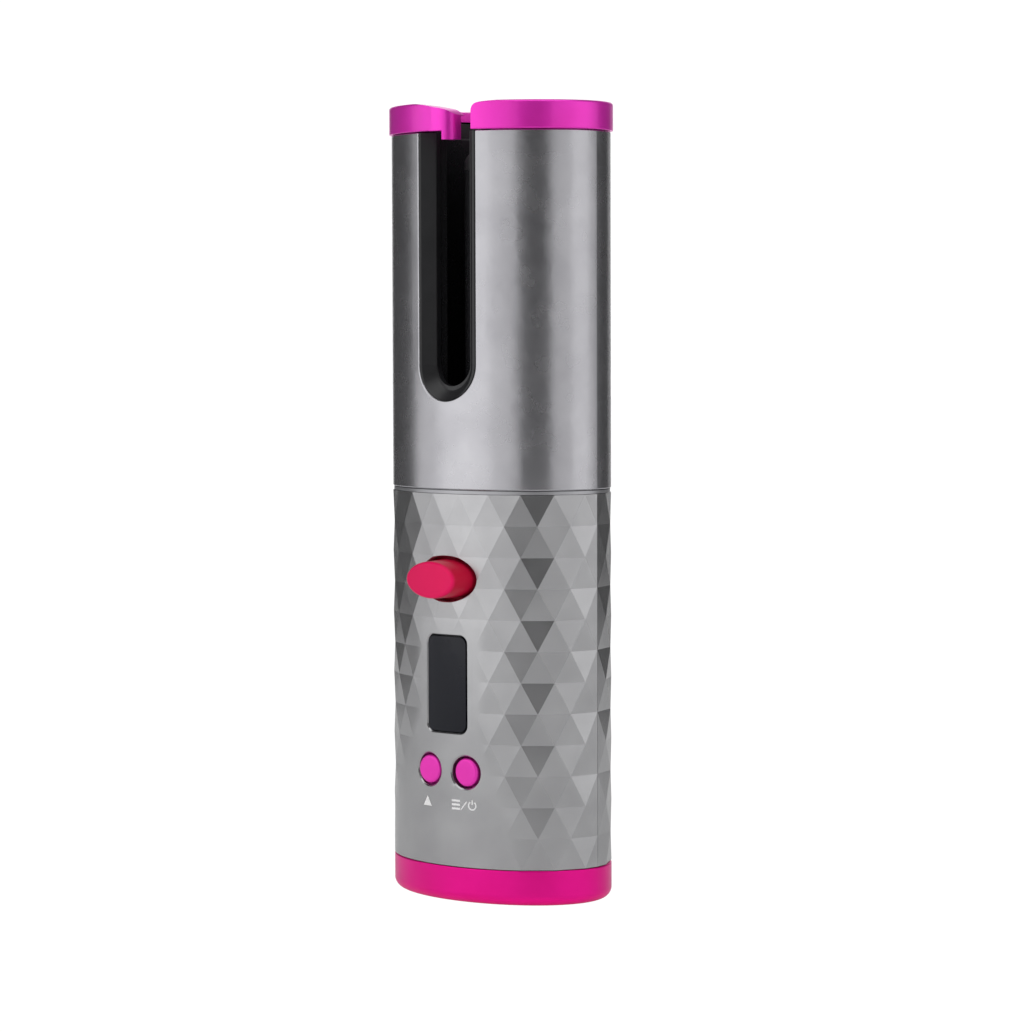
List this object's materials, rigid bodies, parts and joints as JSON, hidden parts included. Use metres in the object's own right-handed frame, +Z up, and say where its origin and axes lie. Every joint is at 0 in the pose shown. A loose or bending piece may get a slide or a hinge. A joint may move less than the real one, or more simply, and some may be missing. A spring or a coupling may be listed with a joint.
{
  "type": "automatic hair curler",
  "caption": "Cordless oval automatic hair curler: hair enters a front slot and a motor-driven slotted drum winds it round a heated barrel inside.",
  "frame": {"origin": "centre of the flat base it stands on, on the axis of the winding chamber", "axes": "+Z up the body to the hair entry end, -Y towards the front face with the slot and the controls, +X to the right seen from the front"},
  "size_m": [0.0628, 0.0504, 0.1983],
  "materials": {
    "grip_paint": "satin grey faceted lacquer",
    "sleeve_metal": "satin metallic grey lacquer",
    "pink_metallic": "metallic magenta lacquer",
    "pink_keys": "gloss magenta",
    "collar_grey": "satin",
    "black_plastic": "fine matt texture",
    "rotor_plastic": "semi-gloss heat resistant plastic",
    "display_glass": "dark tinted gloss",
    "lcd_face": "dark display face",
    "barrel_ceramic": "dark ceramic glaze",
    "heat_plastic": "heat resistant plastic",
    "aluminium": "extruded",
    "ptc_ceramic": "ceramic wrapped in film",
    "steel": "bright",
    "motor_case": "plated",
    "brass": "turned",
    "gear_plastic": "acetal",
    "frame_plastic": "moulded",
    "board_green": "solder mask",
    "chip_black": "moulded",
    "cell_wrap": "shrink film",
    "lead_cover": "silicone"
  },
  "bodies": {
    "housing": {"front_grip_shell": "grip_paint", "rear_grip_shell": "grip_paint", "joint_collar": "collar_grey", "outer_sleeve": "sleeve_metal", "slot_bezel": "black_plastic", "top_cap": "pink_metallic", "base_cap": "pink_metallic", "base_screws": "steel", "chassis_frame": "frame_plastic", "chamber_tube": "black_plastic", "chamber_screws": "steel", "rotor_bush": "brass", "barrel_post": "steel", "barrel_collar": "heat_plastic", "heating_barrel": "barrel_ceramic", "heat_spreader": "aluminium", "heater_element": "ptc_ceramic", "barrel_tip": "heat_plastic", "thermal_sensor": "ptc_ceramic", "gear_motor": "motor_case", "motor_screws": "steel", "home_sensor": "board_green", "main_board": "board_green", "board_parts": "chip_black", "board_screws": "steel", "lcd_module": "lcd_face", "lcd_holder": "black_plastic", "lcd_window": "display_glass", "trigger_pin": "steel", "trigger_bracket": "black_plastic", "trigger_spring": "steel", "trigger_switches": "chip_black", "button_switches": "chip_black", "button_frame": "black_plastic", "battery_cells": "cell_wrap", "battery_tray": "frame_plastic", "cell_links": "brass", "usb_board": "board_green", "usb_receptacle": "steel", "buzzer": "black_plastic", "heater_leads": "lead_cover", "motor_leads": "lead_cover", "battery_leads": "lead_cover", "charge_leads": "lead_cover"},
    "winding_rotor": {"curl_rotor": "rotor_plastic", "rotor_gear": "gear_plastic", "home_magnet": "steel"},
    "pinion": {"drive_pinion": "gear_plastic", "motor_shaft": "steel"},
    "direction_trigger": {"trigger": "pink_keys"},
    "left_key": {"left_button": "pink_keys"},
    "right_key": {"right_button": "pink_keys"}
  },
  "joints": [
    {"name": "rotor_spin", "type": "hinge", "parent": "housing", "child": "winding_rotor", "pos_m": [0, 0, 0.15], "axis": [0, 0, 1], "continuous": true},
    {"name": "pinion_spin", "type": "hinge", "parent": "housing", "child": "pinion", "pos_m": [0.02, 0, 0.107], "axis": [0, 0, 1], "continuous": true},
    {"name": "trigger_rock", "type": "hinge", "parent": "housing", "child": "direction_trigger", "pos_m": [0, -0.0145, 0.08065], "axis": [0, 0, 1], "range_deg": [-4.5, 4.5], "stiffness_Nm_per_rad": 0.3},
    {"name": "left_key_press", "type": "slide", "parent": "housing", "child": "left_key", "axis": [0, 1, 0], "range_m": [0, 0.0005], "stiffness_N_per_m": 400, "springref_m": -0.0003},
    {"name": "right_key_press", "type": "slide", "parent": "housing", "child": "right_key", "axis": [0, 1, 0], "range_m": [0, 0.0005], "stiffness_N_per_m": 400, "springref_m": -0.0003}
  ],
  "couplings": [
    {"joint": "pinion_spin", "follows": "rotor_spin", "ratio": -3.1667}
  ]
}
